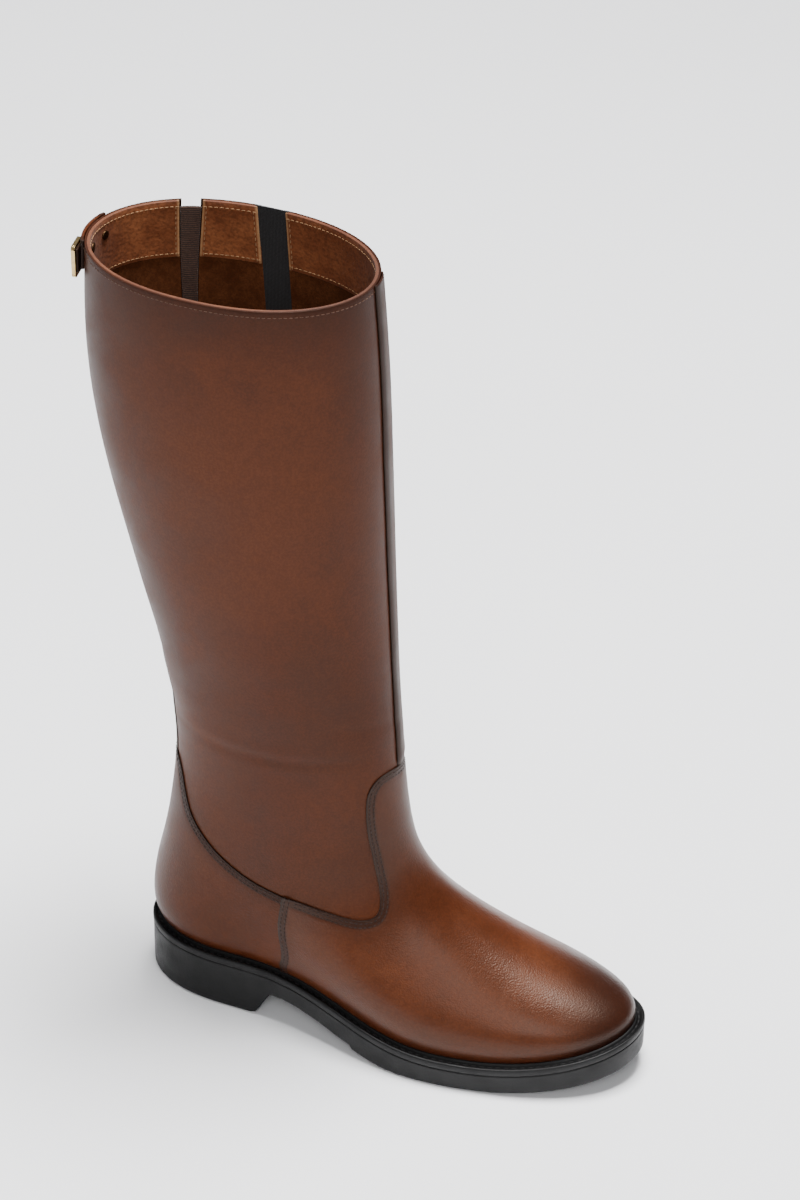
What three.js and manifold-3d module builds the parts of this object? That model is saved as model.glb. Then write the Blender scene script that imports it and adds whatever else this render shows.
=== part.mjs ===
// Knee-high riding boot, right foot, one shoe of a pair. Millimetres, +Z up.
// Toe toward -Y, outer side -X, inner side +X, origin on the floor under the middle of the heel.
import * as THREE from "three";
import { mergeVertices } from "three/addons/utils/BufferGeometryUtils.js";
import Module from "manifold-3d";

const wasm = await Module();
wasm.setup();

// Driving sizes
const LENGTH = 272;          // welt, heel back to toe tip
const HEEL_BACK = 33;        // y of the welt behind the heel
const HEEL_SEAT = 31;        // seat of the upper above the floor at the heel
const FORE_SEAT = 15;        // the same under the ball
const TOE_SPRING = 12;       // lift of the tread under the toe tip
const TOE_LIFT = 14;         // lift of the seat there
const WALL = 2.2;            // leather and lining together
const GAP = 0.3;             // between neighbouring pieces
const WELT_OUT = 6.6;        // welt edge outside the feather line
const WELT_THICK = 4.2;
const INSOLE_THICK = 2.6;
const TREAD_STEP = 1.5;      // step where the forepart tread starts
const LUG_DEPTH = 2;
const RIM_Z = 433;
const ZIP_SLOT = 12;         // opening between the leather edges
const ZIP_CHAIN = 5.6;
const ZIP_LOW_ROW = 2.6;     // section row where the zip ends
const GUSSET_TOP = 9.5;      // width at the collar
const GUSSET_FOOT = 4;       // width at its lower end
const GUSSET_LOW_ROW = 14;
const GUSSET_DROP = 3.5;     // elastic ends below the rim
const STRAP_LOW = 418;
const STRAP_HIGH = 432.5;
const STRAP_OFF = 0.4;         // inner face off the upper
const STRAP_THICK = 1.8;
const PULL_OUT = 3.7;          // pull in front of the leather face
const BUCKLE_HIGH = 17;
const BUCKLE_WIDE = 12.4;
const BUCKLE_WIRE = 1.9;
const AROUND = 46;

// Sections of the upper, feather line to collar. Each is a closed ring between a back and a front point.
const COLUMNS = ["backZ", "backY", "frontZ", "frontY", "heel", "ballOut", "ballIn", "roundBack", "roundFront"];
const SECTIONS = [
  [31, 26.5, 29, -232.5, 28, 46.3, 42.5, 0.2, 0.52],
  [36.5, 29.5, 38, -234, 31, 48.8, 46.5, 0.2, 0.56],
  [43, 31, 48, -219, 32.3, 48.2, 44.5, 0.21, 0.52],
  [51, 31, 58, -191, 32.5, 45, 40.5, 0.23, 0.43],
  [60, 30, 68, -163, 32, 41.5, 37.5, 0.26, 0.4],
  [70, 28.3, 78, -140.5, 31.5, 38.5, 35.5, 0.3, 0.39],
  [81, 25.5, 91, -123.5, 31, 36, 33.5, 0.34, 0.4],
  [94, 22.5, 108, -113, 31, 34.5, 33.2, 0.4, 0.44],
  [109, 20, 130, -108.5, 31.5, 34, 33.3, 0.46, 0.48],
  [127, 17.3, 154, -106, 32.7, 34.6, 33.8, 0.5, 0.5],
  [150, 15, 180, -103.7, 34.2, 35.6, 35.2, 0.5, 0.5],
  [182, 17.2, 206, -101.5, 37.2, 38.1, 37.8, 0.5, 0.5],
  [225, 25.8, 238, -100, 41, 42, 42, 0.5, 0.5],
  [275, 39.3, 280, -98.3, 45.2, 46.1, 46.1, 0.5, 0.5],
  [330, 52.6, 330, -97, 48, 48.5, 48.5, 0.5, 0.5],
  [385, 57.8, 385, -95.3, 49, 49, 49, 0.5, 0.5],
  [RIM_Z, 55.2, RIM_Z, -91.3, 49, 49, 49, 0.5, 0.5],
];
const TOP_ROW = SECTIONS.length - 1;

// Line of the zip in side view, section row against y
const ZIP_LINE = [[0, -42], [4, -41], [8, -39], [10, -36], [12, -32], [14, -23], [16, -17]];

// Underside of the sole in side view, distance from the heel back against height
const UNDER_LINE = [
  [-2, 0], [69, 0], [72, 1], [79, 12.5], [83, 15.3], [88, 15.8], [96, 14.8], [105, 12.8], [113, 10.8], [122, 8],
  [131, 5.4], [131.5, 4.2], [140, 2], [150, 0.4], [158, 0], [190, 0],
];

const clamp = (v, lo, hi) => Math.min(hi, Math.max(lo, v));
const mix = (a, b, t) => a + (b - a) * t;

function smooth(t) {
  const c = clamp(t, 0, 1);
  return c * c * c * (c * (c * 6 - 15) + 10);
}

function along(table, key) {
  const last = table.length - 1;
  const k = clamp(table.findIndex((row) => row[0] > key) - 1, 0, last - 1);
  const i = key >= table[last][0] ? last - 1 : k;
  return mix(table[i][1], table[i + 1][1], (key - table[i][0]) / (table[i + 1][0] - table[i][0]));
}

// Height of the seat line over the floor at a given y
function seat(y) {
  const back = HEEL_BACK - y;
  const spring = clamp((back - 190) / (LENGTH - 190), 0, 1.05);
  return mix(HEEL_SEAT, FORE_SEAT, smooth((back - 62) / 128)) + TOE_LIFT * spring * spring;
}

function sectionAt(row) {
  const s = clamp(row, 0, TOP_ROW);
  const i = Math.min(Math.floor(s), TOP_ROW - 1);
  const f = s - i;
  const weights = [(1 - f) ** 3 / 6, (3 * f ** 3 - 6 * f * f + 4) / 6, (-3 * f ** 3 + 3 * f * f + 3 * f + 1) / 6, f ** 3 / 6];
  const pick = (k, c) => {
    if (k < 0) return 2 * SECTIONS[0][c] - SECTIONS[1][c];
    if (k > TOP_ROW) return 2 * SECTIONS[TOP_ROW][c] - SECTIONS[TOP_ROW - 1][c];
    return SECTIONS[k][c];
  };
  const section = { row: s };
  COLUMNS.forEach((name, c) => {
    section[name] = weights.reduce((sum, w, k) => sum + w * pick(i - 1 + k, c), 0);
  });
  return section;
}

// Point of the upper: u runs 0 back, 0.25 outer side, 0.5 front, 0.75 inner side
function skin(u, row) {
  const c = sectionAt(row);
  const turn = 2 * Math.PI * u;
  const t = (1 - Math.cos(turn)) / 2;
  const outer = Math.sin(turn) >= 0;
  const waist = outer ? clamp(1.5 - c.row / 3, 0, 1) : clamp(5 - c.row, 0, 5);
  const full = mix(c.heel, outer ? c.ballOut : c.ballIn, smooth((t - 0.18) / 0.52));
  const half = full - waist * Math.exp(-(((t - 0.42) / 0.15) ** 2));
  const power = clamp(2.6 - 0.05 * c.row, 2.2, 2.6);
  const back = clamp(1 - t / c.roundBack, 0, 1) ** power;
  const front = clamp((t - c.roundFront) / (1 - c.roundFront), 0, 1) ** power;
  const x = half * Math.sqrt(Math.max(0, 1 - back)) * Math.sqrt(Math.max(0, 1 - front));
  const y = mix(c.backY, c.frontY, t);
  const sag = clamp(1 - c.row / 8, 0, 1) ** 1.6;
  const straight = mix(HEEL_SEAT, FORE_SEAT + TOE_LIFT, t);
  const tip = clamp(7 - c.row, 0, 5) * smooth((t - 0.3) / 0.7);
  const z = mix(c.backZ, c.frontZ, t) + sag * (seat(y) - straight);
  return new THREE.Vector3((outer ? -x : x) + tip, y, z);
}

function skinFrame(u, row) {
  const step = 0.004;
  const low = clamp(row - 0.05, 0, TOP_ROW);
  const high = clamp(row + 0.05, 0, TOP_ROW);
  const side = skin(u + step, row).sub(skin(u - step, row));
  const up = skin(u, high).sub(skin(u, low));
  const stretch = side.length() / (2 * step);
  const normal = side.clone().cross(up).normalize();
  return { at: skin(u, row), side: side.normalize(), up: up.normalize(), normal, stretch };
}

// Point off the skin: shifted along it by mm, then out along its normal; lift carries it above the rim
function off(u, row, shift, out, lift = 0) {
  const base = skinFrame(u, row);
  const moved = skinFrame(u + shift / base.stretch, row);
  const point = moved.at.clone().addScaledVector(moved.normal, out);
  point.z += lift;
  return point;
}

// Cap of a ring: a fan round its middle, or rungs across a ring that is even about its two ends
function cap(points, start, n, ladder) {
  if (ladder) {
    const faces = [[start, start + 1, start + n - 1]];
    for (let k = 1; k < n / 2; k++) {
      faces.push([start + k, start + k + 1, start + n - k]);
      if (k < n / 2 - 1) faces.push([start + k + 1, start + n - k - 1, start + n - k]);
    }
    return faces;
  }
  const centre = points.length;
  const sum = points.slice(start, start + n).reduce((total, p) => total.add(p), new THREE.Vector3());
  points.push(sum.divideScalar(n));
  return Array.from({ length: n }, (_, k) => [start + k, start + ((k + 1) % n), centre]);
}

// Closed body from equal rings in order, its ends capped, or joined end to start
function body(rings, ends = "fan") {
  const n = rings[0].length;
  const points = rings.flat();
  const faces = [];
  const spans = ends === "joined" ? rings.length : rings.length - 1;
  for (let r = 0; r < spans; r++) {
    const a = r * n;
    const b = ((r + 1) % rings.length) * n;
    for (let k = 0; k < n; k++) {
      const l = (k + 1) % n;
      faces.push([a + k, a + l, b + l], [a + k, b + l, b + k]);
    }
  }
  if (ends !== "joined") {
    const first = cap(points, 0, n, ends === "ladder");
    first.forEach((face) => face.reverse());
    faces.push(...first, ...cap(points, (rings.length - 1) * n, n, ends === "ladder"));
  }
  return turnedOut({ points, faces });
}

function turnedOut(shape) {
  const volume = shape.faces.reduce((sum, [a, b, c]) => {
    const [p, q, r] = [shape.points[a], shape.points[b], shape.points[c]];
    return sum + p.dot(new THREE.Vector3().crossVectors(q, r));
  }, 0);
  if (volume < 0) shape.faces.forEach((face) => face.reverse());
  return shape;
}

function indexed(vertices, triangles) {
  const geometry = new THREE.BufferGeometry();
  geometry.setAttribute("position", new THREE.BufferAttribute(vertices, 3));
  geometry.setIndex(new THREE.BufferAttribute(triangles, 1));
  return mergeVertices(geometry, 1e-3);
}

function geometryOf(shape) {
  const vertices = new Float32Array(shape.points.flatMap((p) => [p.x, p.y, p.z]));
  return indexed(vertices, new Uint32Array(shape.faces.flat()));
}

function solidOf(geometry) {
  const vertProperties = geometry.attributes.position.array;
  const triVerts = new Uint32Array(geometry.index.array);
  return new wasm.Manifold(new wasm.Mesh({ numProp: 3, vertProperties, triVerts }));
}

const solid = (shape) => solidOf(geometryOf(shape));

// Plain block, sizes and centre in the frame of the matrix
function box(wide, deep, tall, centre, matrix = new THREE.Matrix4()) {
  const geometry = new THREE.BoxGeometry(wide, deep, tall);
  geometry.deleteAttribute("normal");
  geometry.deleteAttribute("uv");
  return solidOf(mergeVertices(geometry).translate(...centre).applyMatrix4(matrix));
}

const group = new THREE.Group();
group.name = "riding_boot";

function add(name, colour, roughness, metalness, geometry) {
  geometry.computeVertexNormals();
  const material = new THREE.MeshStandardMaterial({ color: colour, roughness, metalness });
  const node = new THREE.Mesh(geometry, material);
  node.name = name;
  group.add(node);
}

function addCut(name, colour, roughness, metalness, shape) {
  const mesh = shape.getMesh();
  add(name, colour, roughness, metalness, indexed(mesh.vertProperties, mesh.triVerts));
}

const steps = (from, to, count) => Array.from({ length: count + 1 }, (_, k) => mix(from, to, k / count));

// Upper: outer face up, inner face down, one hollow wall open at collar and underneath
const ROWS = [...steps(0, 2, 5), ...steps(2, 9, 13).slice(1), ...steps(9, TOP_ROW, 15).slice(1)];
const AROUND_U = steps(0, 1, AROUND).slice(0, AROUND);

// Level ring moved outward by grow
function spread(points, grow) {
  return points.map((p, k) => {
    const before = points[(k + points.length - 1) % points.length];
    const after = points[(k + 1) % points.length];
    const side = new THREE.Vector3(after.x - before.x, after.y - before.y, 0).normalize();
    return new THREE.Vector3(p.x + side.y * grow, p.y - side.x * grow, p.z);
  });
}

function upperWall() {
  const outside = ROWS.map((row) => AROUND_U.map((u) => skin(u, row)));
  const inside = ROWS.map((row) => AROUND_U.map((u) => off(u, row, 0, -WALL)));
  inside[0] = spread(outside[0], -WALL);
  inside[ROWS.length - 1].forEach((p) => p.setZ(RIM_Z));
  return solid(body([...outside, ...inside.reverse()], "joined"));
}

// Strip that follows the skin: rows against a centre u and a half width, from depth low to depth high
function strip(rows, centre, half, low, high, across = 2, lift = 0) {
  const rings = rows.map((row, k) => {
    const h = half(row);
    const rise = k === rows.length - 1 ? lift : 0;
    const shifts = steps(-h, h, across);
    const top = shifts.map((shift) => off(centre(row), row, shift, high, rise));
    const under = shifts.map((shift) => off(centre(row), row, shift, low, rise)).reverse();
    return [...top, ...under];
  });
  return body(rings);
}

function zipU(row) {
  const c = sectionAt(row);
  const t = (along(ZIP_LINE, row) - c.backY) / (c.frontY - c.backY);
  return 1 - Math.acos(1 - 2 * t) / (2 * Math.PI);
}

const gussetU = (row) => mix(0.845, 0.852, (TOP_ROW - row) / 2);
const gussetHalf = (row) => mix(GUSSET_TOP, GUSSET_FOOT, (TOP_ROW - row) / (TOP_ROW - GUSSET_LOW_ROW)) / 2;
const zipRows = [...steps(ZIP_LOW_ROW, 9, 12), ...steps(9, TOP_ROW, 14).slice(1)];
const gussetRows = steps(GUSSET_LOW_ROW, TOP_ROW, 5);

const slot = solid(strip([...zipRows, TOP_ROW], zipU, () => ZIP_SLOT / 2, -6, 4, 2, 8));
const notch = solid(strip([...gussetRows, TOP_ROW], gussetU, gussetHalf, -6, 4, 2, 8));
addCut("upper", 0x6f4024, 0.5, 0, upperWall().subtract(slot).subtract(notch));

// Zip in its slot
const sliderRow = TOP_ROW - 0.33;
const tapeRows = [...zipRows.map((row) => Math.max(row, ZIP_LOW_ROW + 0.05)).slice(0, -1), TOP_ROW - 0.02];
const tape = strip(tapeRows, zipU, () => ZIP_SLOT / 2 - GAP, -WALL + 0.2, -0.9);
add("zip_tape", 0x141414, 0.9, 0, geometryOf(tape));
const chainRows = tapeRows.map((row) => clamp(row, ZIP_LOW_ROW + 0.15, sliderRow - 0.14));
const chain = strip([...new Set(chainRows)], zipU, () => ZIP_CHAIN / 2, -0.9 + GAP, 0.7);
add("zip_teeth", 0x1c1c1e, 0.35, 0.8, geometryOf(chain));

// Level frame on the skin: x round the boot, y straight out, z up
function stand(u, row, z, out = 0) {
  const base = skinFrame(u, row);
  const outward = new THREE.Vector3(base.normal.x, base.normal.y, 0).normalize();
  const around = new THREE.Vector3(outward.y, -outward.x, 0);
  const matrix = new THREE.Matrix4().makeBasis(around, outward, new THREE.Vector3(0, 0, 1));
  return matrix.setPosition(base.at.clone().setZ(z).addScaledVector(outward, out));
}

// Slider: body over the chain with an open bridge the pull hangs from
const SLIDER_Z = skin(zipU(sliderRow), sliderRow).z;
const onZip = stand(zipU(sliderRow), sliderRow, SLIDER_Z);
const sliderBody = box(9.6, 3, 12, [0, 0.9, 0], onZip);
const bridge = box(3.2, 3.2, 8, [0, 3.8, 0], onZip).subtract(box(5, 1.8, 4, [0, PULL_OUT, 0], onZip));
addCut("zip_slider", 0x1b1b1d, 0.3, 0.9, sliderBody.add(bridge));

// Pull: a ring through the bridge and a long open tab below it
const ring = box(8, 1.2, 8.2, [0, PULL_OUT, -2.8], onZip).subtract(box(4.4, 3, 5.9, [0, PULL_OUT, -2.85], onZip));
const tab = box(8, 1.6, 25.2, [0, PULL_OUT, -18.4], onZip).subtract(box(4, 4, 13, [0, PULL_OUT, -21], onZip));
addCut("zip_pull", 0x1b1b1d, 0.3, 0.9, ring.add(tab));

// Elastic gusset in its notch
const elasticRows = steps(GUSSET_LOW_ROW + 0.02, TOP_ROW - GUSSET_DROP / 48, 5);
const elastic = strip(elasticRows, gussetU, (row) => gussetHalf(row) - GAP, -WALL + 0.4, -0.5);
add("gusset", 0x2e1c14, 0.9, 0, geometryOf(elastic));

// Strap round the back, just under the rim
const rimRow = (z) => TOP_ROW - (RIM_Z - z) / 48;
const strapU = [...steps(-0.034, 0.056, 8)];
const strapRings = strapU.map((u) => {
  const levels = steps(STRAP_LOW, STRAP_HIGH, 2);
  const outer = levels.map((z) => off(u, rimRow(z), 0, STRAP_OFF + STRAP_THICK).setZ(z));
  const inner = levels.map((z) => off(u, rimRow(z), 0, STRAP_OFF).setZ(z)).reverse();
  return [...outer, ...inner];
});
add("back_strap", 0x5e3520, 0.5, 0, geometryOf(body(strapRings)));

// Buckle near the strap's outer-side end
const BUCKLE_Z = (STRAP_LOW + STRAP_HIGH) / 2 - 2.4;
const held = stand(0.042, rimRow(BUCKLE_Z), BUCKLE_Z, STRAP_OFF + STRAP_THICK + 0.6 + BUCKLE_WIRE / 2);
const openWide = BUCKLE_WIDE - 2 * BUCKLE_WIRE;
const frame = box(BUCKLE_WIDE, BUCKLE_WIRE, BUCKLE_HIGH, [0, 0, 0], held);
const opening = box(openWide, 9, BUCKLE_HIGH - 2 * BUCKLE_WIRE, [0, 0, 0], held);
addCut("buckle_frame", 0xc9a35a, 0.25, 1, frame.subtract(opening));
addCut("buckle_prong", 0xc9a35a, 0.25, 1, box(openWide - 2 * GAP, 1.8, 2, [0, 0, 0], held));

// Sole pieces share the feather line, grown outward
const OUTLINE_U = steps(0, 1, 84).slice(0, 84);
const feather = OUTLINE_U.map((u) => skin(u, 0));
const grown = (grow, height) => spread(feather, grow).map((p) => p.setZ(height(p.y)));
const plate = (edge) => body(edge.map(([grow, height]) => grown(grow, height)), "ladder");

const weltLow = (y) => seat(y) - GAP - WELT_THICK;
const weltHigh = (y) => seat(y) - GAP;
const welt = plate([
  [WELT_OUT - 0.4, weltLow],
  [WELT_OUT, (y) => weltLow(y) + 0.6],
  [WELT_OUT, (y) => weltHigh(y) - 0.4],
  [WELT_OUT - 0.8, (y) => weltHigh(y) + 0.5],
  [WELT_OUT - 3.4, (y) => weltHigh(y) + 0.4],
  [WELT_OUT - 5.4, weltHigh],
]);
add("welt", 0x17171a, 0.6, 0, geometryOf(welt));

const insoleHigh = (y) => seat(y) + INSOLE_THICK;
add("insole", 0x8a5a36, 0.8, 0, geometryOf(plate([[-WALL - 0.5, seat], [-WALL - 0.5, insoleHigh]])));

// Outsole and heel: the outline pushed down to the floor, cut to the side line
function ground(back) {
  const spring = clamp((back - 190) / (LENGTH - 190), 0, 1.05);
  return back < 190 ? along(UNDER_LINE, back) : TOE_SPRING * spring * spring;
}

const soleTop = (y) => weltLow(y) - GAP;
const block = solid(plate([[WELT_OUT - 0.6, () => -1], [WELT_OUT - 0.6, soleTop]]));
const breaks = [...UNDER_LINE.map(([back]) => back), ...steps(196, 278, 12)];
const wedges = breaks.slice(1).map((to, i) => {
  const from = breaks[i];
  const sides = [[from, ground(from)], [to, ground(to)], [to, -12], [from, -12]];
  return solid(body([-70, 70].map((x) => sides.map(([b, z]) => new THREE.Vector3(x, HEEL_BACK - b, z)))));
});
let sole = block.subtract(wedges.reduce((sum, wedge) => sum.add(wedge)));

// Tread: cross grooves that stop short of the edge
const tread = solid(plate([[-3, () => -2], [-3, () => 30]]));
const grooveAt = (back, wide) => {
  const low = ground(back);
  return box(120, wide, 8, [0, HEEL_BACK - back, low + LUG_DEPTH - 4]);
};
const grooves = [...steps(14, 50, 3).map((b) => grooveAt(b, 4)), ...steps(166, 246, 8).map((b) => grooveAt(b, 4))];
sole = sole.subtract(grooves.reduce((sum, groove) => sum.add(groove)).intersect(tread));
addCut("outsole", 0x151517, 0.7, 0, sole);

export default group;
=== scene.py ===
"""Knee-high riding boot, right foot: burnished brown leather on a black rubber unit sole."""

import math

import bmesh
import bpy
import numpy as np
from mathutils import Matrix, Vector
from mathutils.kdtree import KDTree


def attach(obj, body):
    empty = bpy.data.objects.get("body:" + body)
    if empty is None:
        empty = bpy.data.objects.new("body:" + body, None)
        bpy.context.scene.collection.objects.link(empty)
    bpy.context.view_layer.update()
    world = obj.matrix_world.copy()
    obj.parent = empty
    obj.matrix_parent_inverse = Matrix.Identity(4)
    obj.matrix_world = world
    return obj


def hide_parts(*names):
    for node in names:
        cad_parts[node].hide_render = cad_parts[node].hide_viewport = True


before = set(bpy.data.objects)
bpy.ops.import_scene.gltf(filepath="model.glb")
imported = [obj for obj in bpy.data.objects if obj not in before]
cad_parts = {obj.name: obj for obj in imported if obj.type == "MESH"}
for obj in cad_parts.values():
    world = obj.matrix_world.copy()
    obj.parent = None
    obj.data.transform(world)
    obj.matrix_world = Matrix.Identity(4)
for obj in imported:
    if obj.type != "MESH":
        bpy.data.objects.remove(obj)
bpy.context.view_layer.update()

MM = 0.001

# ---- the last
LENGTH = 272
HEEL_BACK = 33
HEEL_SEAT = 31
FORE_SEAT = 15
TOE_SPRING = 12
TOE_LIFT = 14
HEEL_END = 62  # from the back of the heel to where the sole starts to drop to the ball
BALL = 190  # from the back of the heel to where the toe spring starts
RIM_Z = 433
ZIP_LOW_ROW = 2.6
GUSSET_LOW_ROW = 14
GUSSET_TOP = 9.5
GUSSET_FOOT = 4
WELT_OUT = 6.6
ROW_RISE = 48  # millimetres that one section row stands for above the rim

# Section rows, foot to collar: height and depth at the back and at the front, half widths, and how round
# the two ends are
BACK_Z, BACK_Y, FRONT_Z, FRONT_Y, HEEL, BALL_OUT, BALL_IN, ROUND_BACK, ROUND_FRONT = range(9)
SECTIONS = np.array([
    [31, 26.5, 29, -232.5, 28, 46.3, 42.5, 0.2, 0.52],
    [36.5, 29.5, 38, -234, 31, 48.8, 46.5, 0.2, 0.56],
    [43, 31, 48, -219, 32.3, 48.2, 44.5, 0.21, 0.52],
    [51, 31, 58, -191, 32.5, 45, 40.5, 0.23, 0.43],
    [60, 30, 68, -163, 32, 41.5, 37.5, 0.26, 0.4],
    [70, 28.3, 78, -140.5, 31.5, 38.5, 35.5, 0.3, 0.39],
    [81, 25.5, 91, -123.5, 31, 36, 33.5, 0.34, 0.4],
    [94, 22.5, 108, -113, 31, 34.5, 33.2, 0.4, 0.44],
    [109, 20, 130, -108.5, 31.5, 34, 33.3, 0.46, 0.48],
    [127, 17.3, 154, -106, 32.7, 34.6, 33.8, 0.5, 0.5],
    [150, 15, 180, -103.7, 34.2, 35.6, 35.2, 0.5, 0.5],
    [182, 17.2, 206, -101.5, 37.2, 38.1, 37.8, 0.5, 0.5],
    [225, 25.8, 238, -100, 41, 42, 42, 0.5, 0.5],
    [275, 39.3, 280, -98.3, 45.2, 46.1, 46.1, 0.5, 0.5],
    [330, 52.6, 330, -97, 48, 48.5, 48.5, 0.5, 0.5],
    [385, 57.8, 385, -95.3, 49, 49, 49, 0.5, 0.5],
    [RIM_Z, 55.2, RIM_Z, -91.3, 49, 49, 49, 0.5, 0.5],
])
TOP_ROW = len(SECTIONS) - 1
# Zip: section row and depth
ZIP_LINE = np.array([[0, -42], [4, -41], [8, -39], [10, -36], [12, -32], [14, -23], [16, -17]])
# Underside of the sole: distance from the back of the heel and height over the floor
UNDER_LINE = np.array([
    [-2, 0], [69, 0], [72, 1], [79, 13.2], [80.5, 15.6], [88, 15.9], [96, 14.8], [105, 12.8], [113, 10.8],
    [122, 8], [131, 5.9], [131.6, 4.0], [140, 2], [150, 0.4], [158, 0], [190, 0],
])


def smooth(t):
    """Rises from 0 to 1 as t does, level at both ends."""
    c = np.clip(t, 0, 1)
    return c * c * c * (c * (c * 6 - 15) + 10)


def mix(a, b, t):
    return a + (b - a) * t


def bell(x):
    """Round bump of height 1 about 0."""
    return np.exp(-x * x)


def toe_rise(back):
    """Share of the toe spring at a distance from the back of the heel."""
    return np.clip((back - BALL) / (LENGTH - BALL), 0, 1.05) ** 2


def seat(y):
    """Height of the feather line, where the upper meets the sole."""
    back = HEEL_BACK - y
    drop = smooth((back - HEEL_END) / (BALL - HEEL_END))
    return mix(HEEL_SEAT, FORE_SEAT, drop) + TOE_LIFT * toe_rise(back)


def ground(back):
    """Height of the underside over the floor."""
    flat = np.interp(back, UNDER_LINE[:, 0], UNDER_LINE[:, 1])
    return np.where(back < BALL, flat, TOE_SPRING * toe_rise(back))


def section_at(row):
    """The section values at any row, on a smooth cubic between the rows of the table."""
    s = np.clip(row, 0, TOP_ROW)
    i = np.minimum(np.floor(s).astype(int), TOP_ROW - 1)
    f = s - i
    table = np.vstack([2 * SECTIONS[0] - SECTIONS[1], SECTIONS, 2 * SECTIONS[-1] - SECTIONS[-2]])
    weights = ((1 - f) ** 3, 3 * f**3 - 6 * f**2 + 4, -3 * f**3 + 3 * f**2 + 3 * f + 1, f**3)
    return sum(w[:, None] / 6 * table[i + k] for k, w in enumerate(weights)).T


def skin(turn, row):
    """Point of the upper, in millimetres: turn 0 back, 0.25 outer side, 0.5 front, 0.75 inner side."""
    turn, row = np.broadcast_arrays(np.atleast_1d(turn).astype(float), np.atleast_1d(row).astype(float))
    c = section_at(row)
    s = np.clip(row, 0, TOP_ROW)
    angle = 2 * np.pi * turn
    t = (1 - np.cos(angle)) / 2
    outer = np.sin(angle) >= 0
    waist = np.where(outer, np.clip(1.5 - s / 3, 0, 1), np.clip(5 - s, 0, 5))
    half = mix(c[HEEL], np.where(outer, c[BALL_OUT], c[BALL_IN]), smooth((t - 0.18) / 0.52))
    half = half - waist * bell((t - 0.42) / 0.15)
    power = np.clip(2.6 - 0.05 * s, 2.2, 2.6)
    back = np.clip(1 - t / c[ROUND_BACK], 0, 1) ** power
    front = np.clip((t - c[ROUND_FRONT]) / (1 - c[ROUND_FRONT]), 0, 1) ** power
    x = half * np.sqrt(np.maximum(0, 1 - back)) * np.sqrt(np.maximum(0, 1 - front))
    y = mix(c[BACK_Y], c[FRONT_Y], t)
    sag = np.clip(1 - s / 8, 0, 1) ** 1.6
    straight = mix(HEEL_SEAT, FORE_SEAT + TOE_LIFT, t)
    tip = np.clip(7 - s, 0, 5) * smooth((t - 0.3) / 0.7)
    z = mix(c[BACK_Z], c[FRONT_Z], t) + sag * (seat(y) - straight)
    z = z + np.maximum(row - TOP_ROW, 0) * ROW_RISE
    return np.stack([np.where(outer, -x, x) + tip, y, z], -1)


def skin_frame(turn, row):
    """Point, direction round the boot and up it, outward normal, and millimetres per turn and per row."""
    turn, row = np.broadcast_arrays(np.atleast_1d(turn).astype(float), np.atleast_1d(row).astype(float))
    step, rise = 0.004, 0.05
    low = np.clip(row - rise, 0, TOP_ROW - rise)
    high = np.clip(row + rise, 0, TOP_ROW)
    side = skin(turn + step, row) - skin(turn - step, row)
    up = skin(turn, high) - skin(turn, low)
    normal = np.cross(side, up)
    normal /= np.linalg.norm(normal, axis=1)[:, None] + 1e-12
    stretch = np.linalg.norm(side, axis=1) / (2 * step)
    climb = np.linalg.norm(up, axis=1) / (high - low)
    side = side / (np.linalg.norm(side, axis=1)[:, None] + 1e-12)
    up = up / (np.linalg.norm(up, axis=1)[:, None] + 1e-12)
    return skin(turn, row), side, up, normal, stretch, climb


def zip_turn(row):
    """Turn of the middle of the zip, on the inner side."""
    c = section_at(np.atleast_1d(row).astype(float))
    y = np.interp(np.atleast_1d(row), ZIP_LINE[:, 0], ZIP_LINE[:, 1])
    t = (y - c[BACK_Y]) / (c[FRONT_Y] - c[BACK_Y])
    return 1 - np.arccos(1 - 2 * t) / (2 * np.pi)


def gusset_turn(row):
    """Turn of the middle of the elastic."""
    return mix(0.845, 0.852, (TOP_ROW - row) / 2)


def gusset_half(row):
    """Half the width of the elastic in mm."""
    return mix(GUSSET_TOP, GUSSET_FOOT, (TOP_ROW - row) / (TOP_ROW - GUSSET_LOW_ROW)) / 2


# Soft folds of the worn-in ankle: turn, row, reach in turns, width in rows, depth in mm
FOLDS = [
    (0.26, 10.12, 0.13, 0.11, -0.6), (0.24, 10.32, 0.12, 0.13, 0.28), (0.3, 9.86, 0.1, 0.12, 0.22),
    (0.44, 10.4, 0.08, 0.13, -0.35), (0.75, 10.2, 0.15, 0.16, -0.55), (0.7, 10.5, 0.12, 0.2, 0.3),
    (0.02, 10.9, 0.09, 0.14, -0.5), (0.06, 11.3, 0.1, 0.2, 0.35), (0.36, 7.6, 0.06, 0.4, -0.3),
    (0.66, 7.4, 0.07, 0.4, -0.45), (0.12, 12.3, 0.2, 0.4, 0.45), (0.33, 13.2, 0.2, 0.6, -0.5),
    (0.18, 14.4, 0.25, 0.7, 0.45), (0.8, 13.3, 0.2, 0.6, 0.5), (0.9, 12.1, 0.14, 0.4, -0.5),
]


def drape(turn, row):
    """Height of the soft folds above the even form, in millimetres."""
    total = np.zeros_like(turn)
    for at, level, reach, width, depth in FOLDS:
        apart = (turn - at + 0.5) % 1 - 0.5
        line = level - 2.5 * apart * np.sign(0.5 - at)
        total += depth * bell(apart / reach) * bell((row - line) / width)
    return total


# ---- laying leather on the last
def deselect():
    bpy.ops.object.select_all(action="DESELECT")


def make_active(obj):
    deselect()
    obj.select_set(True)
    bpy.context.view_layer.objects.active = obj


def new_form(name, primitive, **settings):
    """Adds a basic form and names it."""
    deselect()
    primitive(**settings)
    obj = bpy.context.object
    obj.name = obj.data.name = name
    return obj


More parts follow.
